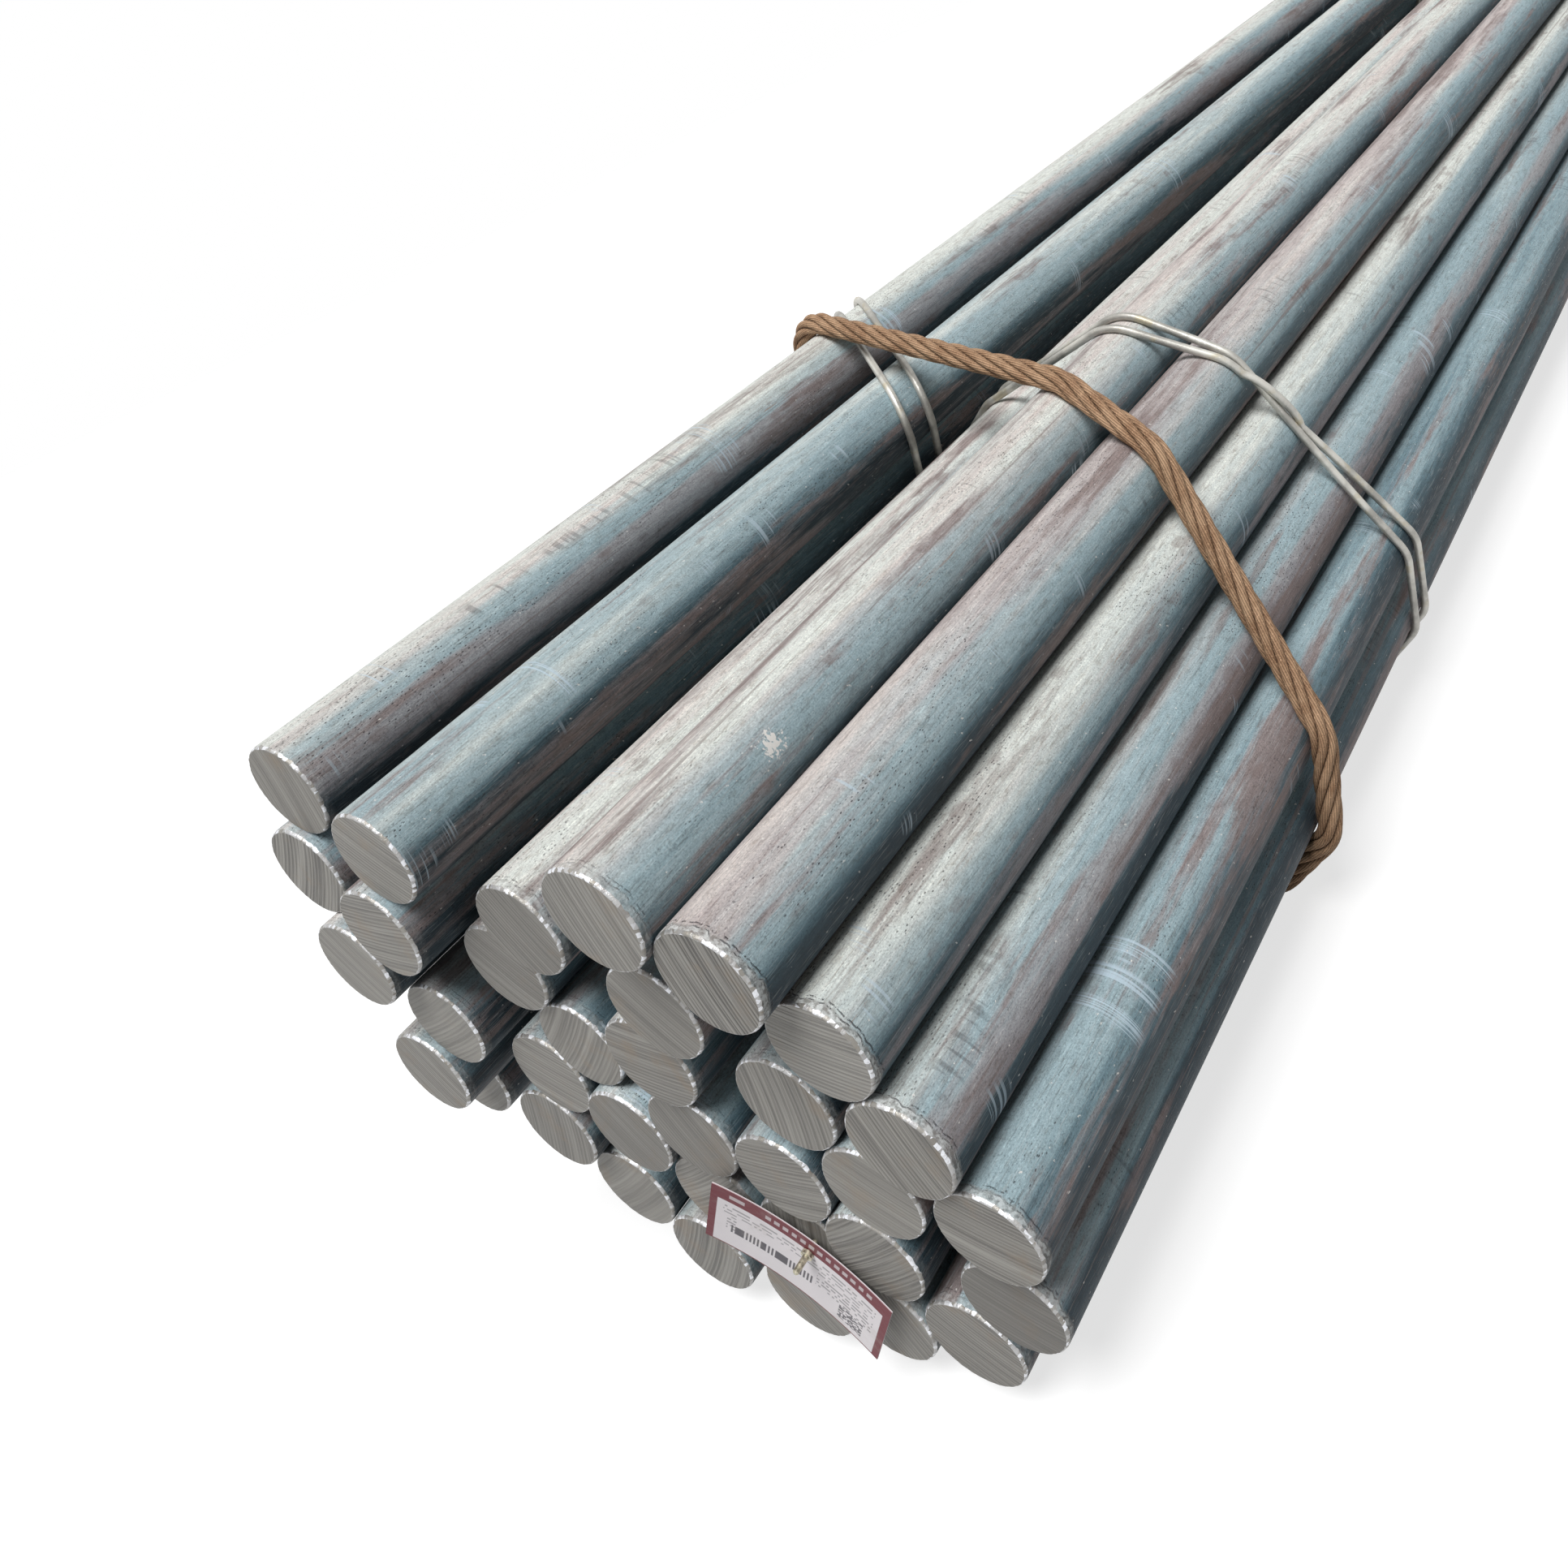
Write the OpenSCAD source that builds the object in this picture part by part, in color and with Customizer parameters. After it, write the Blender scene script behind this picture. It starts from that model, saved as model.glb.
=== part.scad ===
// Bundle of round steel bars, tied with wire in two groups side by side and
// held together by one laid wire rope near the sawn ends.
// Millimetres. X runs along the bars and points out of the sawn ends that
// carry the tag, Y runs across to the right as seen from those ends, Z is up.
// Z = 0 is the level that the bundle lies on, X = 0 is half its length.

/* [Bars] */
// Diameter of every bar
bar_d = 65; // [54:1:78]
// Length of every bar
bar_l = 6000; // [4900:100:9000]
// Chamfer where the burr was knocked off each end
end_ch = 2.2; // [0.6:0.2:4]
// Free gap left between bars that lie against each other
bar_gap = 0.3; // [0.2:0.1:0.5]

/* [Wire ties] */
// Diameter of the tie wire
tie_d = 6.5; // [5.5:0.25:8]
// Distance between the two turns of one tie
tie_w = 34; // [28:1:41]
// Distance from the ends to the first tie of the right group
tie_in = 690; // [680:5:830]

/* [Wire rope] */
// Diameter over the strands
rope_d = 20; // [16:0.5:24]
// Distance from the ends to the rope, under the first bar laid
rope_in = 515; // [440:5:560]
// Length of one full turn of a strand, in rope diameters
rope_lay = 6.5; // [5.5:0.5:8]

/* [Tag] */
// Length of the tag
tag_l = 125; // [104:1:150]
// Width of the tag
tag_w = 66; // [55:1:80]
// Thickness of the tag
tag_t = 1; // [0.8:0.1:1.5]
// Diameter of the pin that holds the tag
pin_d = 4; // [3:0.5:5]

/* [Hidden] */
$fn = 64;
SEAT = 0.3;            // wire, rope and tag stop this far from what they bear on
STEP_BACK = 50;        // how far the furthest end stands behind the foremost one
TIES = 4;              // ties along each group
STRANDS = 6;           // strands in the rope
TIE_SIDES = 6;
LOBE = [-30, -15, 0, 15];  // section points of one strand, degrees from its crest
bar_r = bar_d / 2;
k_d = bar_d / 65;      // how much larger than the usual bar this one is
TIE_STEP = 24;         // degrees of a bar between two sections of a wire
ROPE_STEP = 15;
ROPE_LEAN = [-0.293, 0.121];  // as lean of a tie
tie_rho = bar_r + SEAT + tie_d / 2;    // from a bar's centre to the wire's or rope's
rope_rho = bar_r + SEAT + rope_d / 2;

// How each bar was laid. The second and third numbers name bars laid earlier.
//   ["floor", across, 0, back]      on the ground, this far across
//   ["on", bar, angle, back]        against one bar, in this direction
//   ["nest", bar, bar, back]        in the hollow left of the line from bar to bar
// back is how far its sawn end stands behind the foremost one.
RIGHT = 26;            // the first 26 are the right group, the rest the left one
LAY = [
    ["floor", 0, 0, 45], ["floor", 101, 0, 35], ["floor", 167, 0, 35], ["floor", 233, 0, 35],
    ["on", 3, 40, 35], ["on", 0, 130, 45], ["nest", 1, 2, 35], ["on", 6, 7, 30],
    ["on", 6, 160, 35], ["on", 4, 72, 30], ["on", 5, 110, 35], ["nest", 6, 7, 30],
    ["on", 7, 59, 30], ["on", 8, 128, 30], ["nest", 8, 11, 30], ["on", 10, 54, 35],
    ["on", 9, 108, 25], ["on", 12, 115, 30], ["nest", 15, 13, 35], ["on", 14, 76, 25],
    ["on", 16, 104, 25], ["on", 19, 46, 20], ["on", 18, 104, 30], ["on", 22, 34, 25],
    ["on", 20, 106, 5], ["on", 24, 142, 0],
    ["on", 15, 135, 20], ["on", 26, 109, 5], ["nest", 27, 22, 5], ["on", 28, 53, 10],
    ["on", 27, 93, 15], ["on", 30, 62, 20], ["on", 26, -140, 15], ["on", 32, -132, 50]
];
BARS = len(LAY);

// Which bars each wire bears on, going round with the bars on its left.
// A minus sign is a bar of the other group that presses the wire inwards.
WRAP_RIGHT = [0, 3, 4, 9, 24, 25, 23, 22, -26, 15, 10, 5];
WRAP_LEFT = [33, 26, -22, 28, 29, 31, 30];
WRAP_ROPE = [0, 3, 4, 9, 24, 25, 31, 30, 33];

// Distance between the centres of bars i and j where they bear on each other:
// bars of different groups have a tie wire between them.
function reach(i, j) = (i < RIGHT) == (j < RIGHT) ? bar_d + bar_gap :
    tie_rho / cos(TIE_STEP / 2) + tie_d / 2 + SEAT + bar_r;
function dir(a) = [cos(a), sin(a)];
function left_of(v) = [-v[1], v[0]];
function nest(p, q, rp, rq) =
    let (d = q - p, len = norm(d), along = (len * len + rp * rp - rq * rq) / (2 * len))
    p + along * d / len + sqrt(rp * rp - along * along) * left_of(d) / len;
function laid(i, done) =
    let (r = LAY[i])
    r[0] == "floor" ? [r[1] * k_d, 0] :
    r[0] == "on" ? done[r[1]] + reach(i, r[1]) * dir(r[2]) :
    nest(done[r[1]], done[r[2]], reach(i, r[1]), reach(i, r[2]));
function pile(done = []) = len(done) == BARS ? done : pile(concat(done, [laid(len(done), done)]));

RAW = pile();
across = [for (p = RAW) p[0]];
// the lowest bars' centres are as high as the rope under them makes them
bed = rope_d / 2 + max([for (i = [0 : len(WRAP_ROPE) - 1])
    if (LAY[WRAP_ROPE[i]][0] == "floor") round_out(WRAP_ROPE, i, rope_rho, ROPE_STEP)]);
shift = [-(min(across) + max(across)) / 2, bed];
C = [for (p = RAW) p + shift];       // centre of each bar, [y, z]
x_front = (bar_l + STEP_BACK) / 2;   // the foremost sawn end

// A taut wire round the bars of a list, as a closed row of [y, z, heading].
function heading(p, q, sp, sq, rho) =
    atan2(q[1] - p[1], q[0] - p[0]) - asin(max(-1, min(1, (sq - sp) * rho / norm(q - p))));
function turn(a) = a - 360 * round(a / 360);
function bar_of(wrap, i) = RAW[abs(wrap[(i + len(wrap)) % len(wrap)])];
function side_of(wrap, i) = wrap[(i + len(wrap)) % len(wrap)] < 0 ? -1 : 1;
function leave(wrap, i, rho) =
    heading(bar_of(wrap, i), bar_of(wrap, i + 1), side_of(wrap, i), side_of(wrap, i + 1), rho);
function touch(wrap, i, a, rho) =
    bar_of(wrap, i) + shift - side_of(wrap, i) * rho * left_of(dir(a));
function bend(wrap, i, rho) = turn(leave(wrap, i, rho) - leave(wrap, i - 1, rho));
function steps(t, step) = max(1, ceil(abs(t) / step));
// radius whose chords just clear the bar
function round_out(wrap, i, rho, step) =
    let (t = bend(wrap, i, rho)) rho / cos(t / steps(t, step) / 2);
function taut(wrap, rho, step, run) = [
    for (i = [0 : len(wrap) - 1])
        let (a = leave(wrap, i - 1, rho), b = leave(wrap, i, rho), t = bend(wrap, i, rho),
             n = steps(t, step), r = round_out(wrap, i, rho, step), p = touch(wrap, i, b, r),
             q = touch(wrap, i + 1, b, round_out(wrap, (i + 1) % len(wrap), rho, step)),
             m = max(1, ceil(norm(q - p) / run)))
        each concat(
            [for (j = [0 : n]) let (h = a + t * j / n) concat(touch(wrap, i, h, r), [h])],
            m < 2 ? [] : [for (j = [1 : m - 1]) concat(p + (q - p) * j / m, [b])])
];
function flat(p) = [p[0], p[1]];
function gone(pts, i = 0, acc = [0]) =
    i >= len(pts) ? acc :
    gone(pts, i + 1, concat(acc, [acc[i] + norm(flat(pts[(i + 1) % len(pts)]) - flat(pts[i]))]));

// Closed sweep: rows of section points carried round a closed row of centres.
// out is the direction away from the bars at each centre.
function unit(v) = v / norm(v);
function ring(c, t, out, sec) =
    let (n = unit(out - (out * t) * t), b = cross(t, n))
    [for (q = sec) c + q[0] * n + q[1] * b];
module sweep(centres, outs, secs) {
    n = len(centres);
    m = len(secs[0]);
    pts = [for (i = [0 : n - 1])
        let (t = unit(centres[(i + 1) % n] - centres[(i + n - 1) % n]))
        each ring(centres[i], t, outs[i], secs[i])];
    faces = [for (i = [0 : n - 1], j = [0 : m - 1])
        let (i2 = (i + 1) % n, j2 = (j + 1) % m)
        each [[i * m + j, i2 * m + j, i2 * m + j2], [i * m + j, i2 * m + j2, i * m + j2]]];
    polyhedron(points = pts, faces = faces, convexity = 12);
}

// One round bar with its ends sawn square.
module bar(i) {
    color([0.46, 0.50, 0.53])
    translate([x_front - LAY[i][3] - bar_l, C[i][0], C[i][1]])
    rotate([0, 90, 0])
    rotate_extrude()
    polygon([[0, 0], [bar_r - end_ch, 0], [bar_r, end_ch], [bar_r, bar_l - end_ch],
             [bar_r - end_ch, bar_l], [0, bar_l]]);
}

// A tie: one wire that goes round its group twice and crosses itself once.
// lean is how its distance from the ends changes across and up the group,
// meet is where along the first turn the two turns cross, from 0 to 1.
module tie(wrap, back, lean, meet) {
    once = taut(wrap, tie_rho, TIE_STEP, 75 * k_d);
    far = gone(once);
    n = len(once);
    full = far[n];
    part = function(s) let (c = cos(180 * (s - meet) + 90)) c / sqrt(c * c + 0.12);
    // the turn on top is lifted where the turns are closer than the wire is thick
    over = function(s) let (w = tie_w * abs(part(s))) sqrt(max(0, pow(tie_d + SEAT, 2) - w * w));
    rows = [for (lap = [0, 1], i = [0 : n - 1])
        let (s = lap + far[i] / full, p = once[i], o = [sin(p[2]), -cos(p[2])],
             top = lap == 1 ? over(s) : 0, q = flat(p) + top * o,
             x = x_front - back - lean * (flat(p) - shift) / k_d + tie_w / 2 * part(s))
        [[x, q[0], q[1]], [0, o[0], o[1]]]];
    sec = [for (j = [0 : TIE_SIDES - 1]) tie_d / 2 * dir(360 * j / TIE_SIDES)];
    sweep([for (r = rows) r[0]], [for (r = rows) r[1]], [for (r = rows) sec]);
}
tie_pitch = (bar_l + STEP_BACK - 2 * tie_in) / (TIES - 1);
module tie_right(i) {
    color([0.66, 0.66, 0.62])
    tie(WRAP_RIGHT, tie_in + i * tie_pitch, [0, -0.22], i == TIES - 1 ? 0.12 : 0.46);
}
module tie_left(i) {
    color([0.66, 0.66, 0.62])
    tie(WRAP_LEFT, tie_in - 124 - tie_w + i * tie_pitch, [-0.85, 0.1], 0.97);
}

// The wire rope: its strands show as lobes that wind round it.
module rope() {
    pts = taut(WRAP_ROPE, rope_rho, ROPE_STEP, rope_d * 0.62);
    far = gone(pts);
    n = len(pts);
    turns = round(far[n] / (rope_lay * rope_d) * STRANDS) / STRANDS;
    rs = rope_d / 2 / 3;
    crest = function(a) 2 * rs * cos(a) + sqrt(max(0, rs * rs - pow(2 * rs * sin(a), 2)));
    centres = [for (p = pts)
        [x_front - rope_in - ROPE_LEAN * (flat(p) - shift) / k_d, p[0], p[1]]];
    outs = [for (p = pts) [0, sin(p[2]), -cos(p[2])]];
    secs = [for (i = [0 : n - 1])
        let (a0 = 360 * turns * far[i] / far[n])
        [for (k = [0 : STRANDS - 1], a = LOBE) crest(a) * dir(a0 + 360 * k / STRANDS + a)]];
    color([0.55, 0.38, 0.26]) sweep(centres, outs, secs);
}

// The tag hangs on a pin in front of one bar of the right group.
TAG_BAR = 6;                                // the bar that carries the pin
tag_at = C[TAG_BAR] + [-3, -9];             // middle of the tag
pin_at = C[TAG_BAR] + [12, 3];
tag_turn = -40;                             // slope of its long edge
tag_bow = 340;                              // radius that it is bent to
tag_x = x_front - 29;                       // back of the tag at its middle
module tag() {
    half = tag_l / 2 / tag_bow * 180 / PI;
    color([0.86, 0.85, 0.86])
    difference() {
        translate([tag_x, tag_at[0], tag_at[1]])
        rotate([tag_turn, 0, 0])
        translate([tag_bow, 0, -tag_w / 2])
        linear_extrude(tag_w)
        polygon(concat(
            [for (a = [-12 : 12]) tag_bow * [-cos(half * a / 12), sin(half * a / 12)]],
            [for (a = [12 : -1 : -12]) (tag_bow - tag_t) * [-cos(half * a / 12), sin(half * a / 12)]]));
        translate([tag_x - 20, pin_at[0], pin_at[1]])
        rotate([0, 90, 0]) cylinder(d = pin_d + 2 * SEAT, h = 60);
    }
}
module tag_pin() {
    face = x_front - LAY[TAG_BAR][3];
    out = tag_x + tag_t + SEAT - face;      // its collar is in front of the tag
    color([0.72, 0.60, 0.34])
    translate([face, pin_at[0], pin_at[1]])
    rotate([0, 90, 0])
    rotate_extrude()
    polygon([[0, 0], [pin_d / 2, 0], [pin_d / 2, out], [pin_d * 0.95, out],
             [pin_d * 0.95, out + 2.2], [pin_d * 0.7, out + 2.6], [pin_d / 2, out + 2.6],
             [pin_d / 2, out + 12], [pin_d * 0.3, out + 13], [0, out + 13]]);
}

function two(i) = str(i < 10 ? "0" : "", i);
for (i = [1 : BARS]) bar(i - 1);
for (i = [1 : TIES]) tie_right(i - 1);
for (i = [1 : TIES]) tie_left(i - 1);
rope();
tag();
tag_pin();
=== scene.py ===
"""Bundle of round steel bars: hot-rolled bars, tie wires, wire rope, tag and pin, on a plain stage."""

import math

import bpy
import numpy as np
from bpy.props import FloatProperty, FloatVectorProperty, IntProperty, PointerProperty
from bpy.types import Operator, Panel, PropertyGroup
from mathutils import Matrix, Vector


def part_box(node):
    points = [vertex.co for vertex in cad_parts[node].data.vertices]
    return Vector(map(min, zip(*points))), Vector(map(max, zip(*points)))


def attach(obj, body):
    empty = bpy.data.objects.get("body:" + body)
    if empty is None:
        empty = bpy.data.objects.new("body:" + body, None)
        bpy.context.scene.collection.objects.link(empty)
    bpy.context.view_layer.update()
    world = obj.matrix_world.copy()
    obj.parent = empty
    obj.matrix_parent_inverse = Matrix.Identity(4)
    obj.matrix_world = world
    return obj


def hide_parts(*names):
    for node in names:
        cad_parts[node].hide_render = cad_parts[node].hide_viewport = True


bl_info = {
    "name": "Steel bar bundle",
    "version": (1, 0, 0),
    "blender": (4, 5, 0),
    "location": "3D View > Sidebar > Bars",
    "description": "Surfaces and finishes for a tied and roped bundle of round steel bars",
    "category": "Object",
}

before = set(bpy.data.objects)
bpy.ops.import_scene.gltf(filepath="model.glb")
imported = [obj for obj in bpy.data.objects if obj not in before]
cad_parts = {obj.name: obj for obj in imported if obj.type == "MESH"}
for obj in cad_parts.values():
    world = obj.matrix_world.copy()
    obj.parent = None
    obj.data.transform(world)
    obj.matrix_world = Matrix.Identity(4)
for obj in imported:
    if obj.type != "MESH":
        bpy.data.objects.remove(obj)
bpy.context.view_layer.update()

BARS = sorted(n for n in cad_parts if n.startswith("bar_"))
TIES = sorted(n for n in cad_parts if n.startswith("tie_"))
SEAT = 0.0003  # wire and rope stop this far from what they bear on
NOWHERE = 9.0  # further than any bar is long: for a mark that a bar doesn't have
PLAIN, SAWN_FACE, RIM = 0, 1, 2  # material slots of a bar

# The bars that each wire goes round with them on its left, as places in BARS.
# A minus sign is a bar of the other group that presses the wire inwards.
WRAPS = {
    "right": (0, 3, 4, 9, 24, 25, 23, 22, -26, 15, 10, 5),
    "left": (33, 26, -22, 28, 29, 31, 30),
    "rope": (0, 3, 4, 9, 24, 25, 31, 30, 33),
}


def bar_axis(node):
    """Centre (y, z), radius and the two ends in x of a bar, from its CAD box."""
    lo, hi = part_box(node)
    return np.array([(lo.y + hi.y) / 2, (lo.z + hi.z) / 2]), (hi.z - lo.z) / 2, lo.x, hi.x


AXES = [bar_axis(node) for node in BARS]
CENTRES = np.array([centre for centre, _, _, _ in AXES])
BAR_R = AXES[0][1]
FIRST = CENTRES[0]  # centre of the first bar laid
FOREMOST = max(front for _, _, _, front in AXES)  # x of the sawn end that stands out furthest


# ---------------------------------------------------------------- meshes

def grid_faces(rows, cols, close_rows=False):
    """Quads of a grid whose columns run round a closed section.
    Corner order is (i, j), (i + 1, j), (i + 1, j + 1), (i, j + 1)."""
    i = np.arange(rows if close_rows else rows - 1)[:, None]
    j = np.arange(cols)[None, :]
    i2, j2 = (i + 1) % rows, (j + 1) % cols
    return np.stack([i * cols + j, i2 * cols + j, i2 * cols + j2, i * cols + j2], -1).reshape(-1, 4)


def grid_uv(u, v):
    """Corner UVs for grid_faces. u has one entry more than the grid has columns of faces, and
    v one more than it has rows of faces."""
    i, j = np.meshgrid(np.arange(len(v) - 1), np.arange(len(u) - 1), indexing="ij")
    corners = [np.stack([u[j + dj], v[i + di]], -1) for di, dj in ((0, 0), (1, 0), (1, 1), (0, 1))]
    return np.stack(corners, 2).reshape(-1, 2)


def link(obj):
    bpy.context.scene.collection.objects.link(obj)
    return obj


def make_object(name, verts, faces, uv=None, smooth=True, ends=()):
    """A mesh object at the origin from whole arrays. ends are faces of many corners that
    close a turned surface."""
    corners = np.asarray(faces).tolist() + [end.tolist() for end in ends]
    mesh = bpy.data.meshes.new(name)
    mesh.from_pydata(np.asarray(verts, float).tolist(), [], corners)
    if uv is not None:
        uv = np.concatenate([uv, np.zeros((sum(map(len, ends)), 2))])
        layer = mesh.uv_layers.new(name="UVMap")
        layer.data.foreach_set("uv", np.ascontiguousarray(uv, np.float32).ravel())
    mesh.polygons.foreach_set("use_smooth", np.full(len(mesh.polygons), smooth))
    mesh.update()
    return link(bpy.data.objects.new(name, mesh))


def turned_round(faces, uv):
    """The same quads and corner UVs with the corners in the opposite order."""
    return faces[:, ::-1], uv.reshape(-1, 4, 2)[:, ::-1].reshape(-1, 2)


def point_values(obj, name, values, kind="FLOAT"):
    """Stores one value per vertex under a name that a material can read."""
    field = {"FLOAT": "value", "FLOAT_VECTOR": "vector", "FLOAT_COLOR": "color"}[kind]
    values = np.ascontiguousarray(values, np.float32).ravel()
    obj.data.attributes.new(name, kind, "POINT").data.foreach_set(field, values)


def waves(rng, angle, orders, spread=0.5):
    """A smooth closed ripple: the sum over orders of size * cos(order * angle + phase) with
    random sizes and phases, over the square root of how many orders there are."""
    size = rng.normal(1.0, spread, len(orders))
    phase = rng.uniform(0, 2 * math.pi, len(orders))
    total = (size[:, None] * np.cos(np.outer(orders, angle) + phase[:, None])).sum(0)
    return total / math.sqrt(len(orders))


# ---------------------------------------------------------------- taut lines

def left_of(heading):
    """Unit vector to the left of a heading in the (y, z) plane."""
    return np.stack([-np.sin(heading), np.cos(heading)], -1)


def tangent_headings(centres, side, rho):
    """Heading of the common tangent from each bar to the next: the heading between their
    centres, less asin((side of the next - own side) * rho / distance)."""
    headings = []
    for i, here in enumerate(centres):
        j = (i + 1) % len(centres)
        way = centres[j] - here
        lean = (side[j] - side[i]) * rho / np.linalg.norm(way)
        headings.append(math.atan2(way[1], way[0]) - math.asin(max(-1.0, min(1.0, lean))))
    return headings


def taut_line(wrap, rho, spacing):
    """A wire pulled tight round the bars of wrap: arcs of radius rho about their centres,
    joined by their common tangents. Returns points (y, z), outward normals and the distance
    gone at each point, closed: the last point joins the first."""
    centres = np.array([CENTRES[abs(k)] for k in wrap])
    side = [-1.0 if k < 0 else 1.0 for k in wrap]
    heading = tangent_headings(centres, side, rho)
    points, out = [], []
    for i, here in enumerate(centres):
        j = (i + 1) % len(centres)
        bend = (heading[i] - heading[i - 1] + math.pi) % (2 * math.pi) - math.pi
        count = max(2, int(math.ceil(abs(bend) * rho / spacing)) + 1)
        h = heading[i - 1] + bend * np.linspace(0, 1, count)
        points.append(here - side[i] * rho * left_of(h))
        out.append(-left_of(h))
        leaves = points[-1][-1]
        lands = centres[j] - side[j] * rho * left_of(heading[i])
        count = int(np.linalg.norm(lands - leaves) / spacing)
        if count > 1:
            points.append(leaves + (lands - leaves) * (np.arange(1, count)[:, None] / count))
            out.append(np.repeat(-left_of(heading[i])[None, :], count - 1, 0))
    points, out = np.concatenate(points), np.concatenate(out)
    # points that all but coincide with the one before are left out
    keep = np.linalg.norm(points - np.roll(points, 1, 0), axis=1) > spacing * 0.05
    points, out = points[keep], out[keep]
    step = np.linalg.norm(np.roll(points, -1, 0) - points, axis=1)
    return points, out, np.concatenate([[0], np.cumsum(step)])


def slanting_x(node, yz, lean, off=0.0):
    """x of a wire that lies in a slanting plane: lean times the way from the first bar, plus
    off, moved so that its middle is the CAD node's."""
    lo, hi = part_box(node)
    x = lean[0] * (yz[:, 0] - FIRST[0]) + lean[1] * (yz[:, 1] - FIRST[1]) + off
    return x + (lo.x + hi.x - x.min() - x.max()) / 2


def path_sides(path, outward):
    """For each point of a closed path with direction T: N, the outward direction made square
    to T, and T x N."""
    t = np.roll(path, -1, 0) - np.roll(path, 1, 0)
    t /= np.linalg.norm(t, axis=1)[:, None]
    normal = outward - (outward * t).sum(1)[:, None] * t
    normal /= np.linalg.norm(normal, axis=1)[:, None]
    return normal, np.cross(t, normal)


def tube(path, outward, radius, sides):
    """Rings of a closed tube: point + radius * (cos(a) N + sin(a) T x N), with N and T x N
    from path_sides."""
    normal, beside = path_sides(path, outward)
    a = np.arange(sides) * 2 * math.pi / sides
    ring = np.cos(a)[None, :, None] * normal[:, None, :] + np.sin(a)[None, :, None] * beside[:, None, :]
    return (path[:, None, :] + radius * ring).reshape(-1, 3)


# ---------------------------------------------------------------- materials

class Nodes:
    """Short hand for building one node tree. A value is a number, a colour or a socket."""

    def __init__(self, tree):
        self.nodes, self.links = tree.nodes, tree.links
        self.nodes.clear()

    def add(self, kind, values=(), **settings):
        """A new node with its settings and the values of its first inputs."""
        node = self.nodes.new("ShaderNode" + kind)
        for name, value in settings.items():
            setattr(node, name, value)
        for socket, value in zip(node.inputs, values):
            self.put(socket, value)
        return node

    def put(self, socket, value):
        if isinstance(value, bpy.types.NodeSocket):
            self.links.new(value, socket)
        elif socket.type == "RGBA" and len(value) == 3:
            socket.default_value = (*value, 1.0)
        else:
            socket.default_value = value

    def math(self, op, *values):
        return self.add("Math", values, operation=op).outputs[0]

    def chain(self, op, values):
        """Joins two or more values by one operation, from the left."""
        total, *rest = values
        for value in rest:
            total = self.math(op, total, value)
        return total

    def plus(self, *values):
        return self.chain("ADD", values)

    def times(self, *values):
        return self.chain("MULTIPLY", values)

    def minus(self, a, b):
        return self.math("SUBTRACT", a, b)

    def most(self, *values):
        return self.chain("MAXIMUM", values)

    def apart(self, a, b):
        """How far apart two numbers are."""
        return self.math("ABSOLUTE", self.minus(a, b))

    def level(self, value, low, high, to_low=0.0, to_high=1.0):
        """Maps low..high to to_low..to_high, smoothly and without going past them."""
        values = (value, low, high, to_low, to_high)
        return self.add("MapRange", values, interpolation_type="SMOOTHSTEP").outputs[0]

    def looked_at(self):
        """1 where the eye sees a thing directly, in a gloss or through glass, otherwise 0."""
        path = self.add("LightPath").outputs
        glass = self.most(path["Is Glossy Ray"], path["Is Transmission Ray"])
        return self.most(path["Is Camera Ray"], glass)


class Paint(Nodes):
    """Short hand for building one material."""

    def __init__(self, name):
        self.mat = bpy.data.materials.new(name)
        self.mat.use_nodes = True
        super().__init__(self.mat.node_tree)
        self.out = self.add("OutputMaterial")
        self.shader = self.add("BsdfPrincipled")
        self.put(self.out.inputs[0], self.shader.outputs[0])

    def object_xyz(self):
        return self.add("TexCoord").outputs["Object"]

    def uv(self):
        return self.add("TexCoord").outputs["UV"]

    def attribute(self, name, output="Fac"):
        return self.add("Attribute", attribute_name=name).outputs[output]

    def split(self, vector):
        return tuple(self.add("SeparateXYZ", [vector]).outputs)

    def join(self, x, y, z):
        return self.add("CombineXYZ", (x, y, z)).outputs[0]

    def stretch(self, vector, scale, offset=(0, 0, 0)):
        """Multiplies a vector by scale and adds offset."""
        return self.add("VectorMath", (vector, scale, offset), operation="MULTIPLY_ADD").outputs[0]

    def distance(self, a, b):
        return self.add("VectorMath", (a, b), operation="DISTANCE").outputs["Value"]

    def noise(self, vector, scale=1.0, detail=2.0, rough=0.5, warp=0.0):
        n = self.add("TexNoise")
        self.put(n.inputs["Vector"], vector)
        self.put(n.inputs["Scale"], scale)
        self.put(n.inputs["Detail"], detail)
        self.put(n.inputs["Roughness"], rough)
        self.put(n.inputs["Distortion"], warp)
        return n.outputs["Fac"]

    def cells(self, vector, output="Distance"):
        n = self.add("TexVoronoi")
        self.put(n.inputs["Vector"], vector)
        self.put(n.inputs["Scale"], 1.0)
        return n.outputs[output]

    def mix(self, amount, a, b, blend="MIX"):
        n = self.add("Mix", [amount], data_type="RGBA", blend_type=blend)
        self.put(n.inputs[6], a)
        self.put(n.inputs[7], b)
        return n.outputs[2]

    def lay(self, color, over, value, low, high, most=1.0, blend="MIX"):
        """Lays a colour over another as value goes from low to high, with at most this much
        of it."""
        return self.mix(self.level(value, low, high, 0.0, most), color, over, blend)

    def bump(self, height, distance, strength=1.0):
        n = self.add("Bump")
        self.put(n.inputs["Height"], height)
        self.put(n.inputs["Distance"], distance)
        self.put(n.inputs["Strength"], strength)
        return n.outputs[0]

    def finish(self, color, rough, metal, specular, normal=None):
        self.put(self.shader.inputs["Base Color"], color)
        self.put(self.shader.inputs["Roughness"], rough)
        self.shader.inputs["Metallic"].default_value = metal
        self.shader.inputs["Specular IOR Level"].default_value = specular
        if normal is not None:
            self.put(self.shader.inputs["Normal"], normal)
        return self.mat


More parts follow.
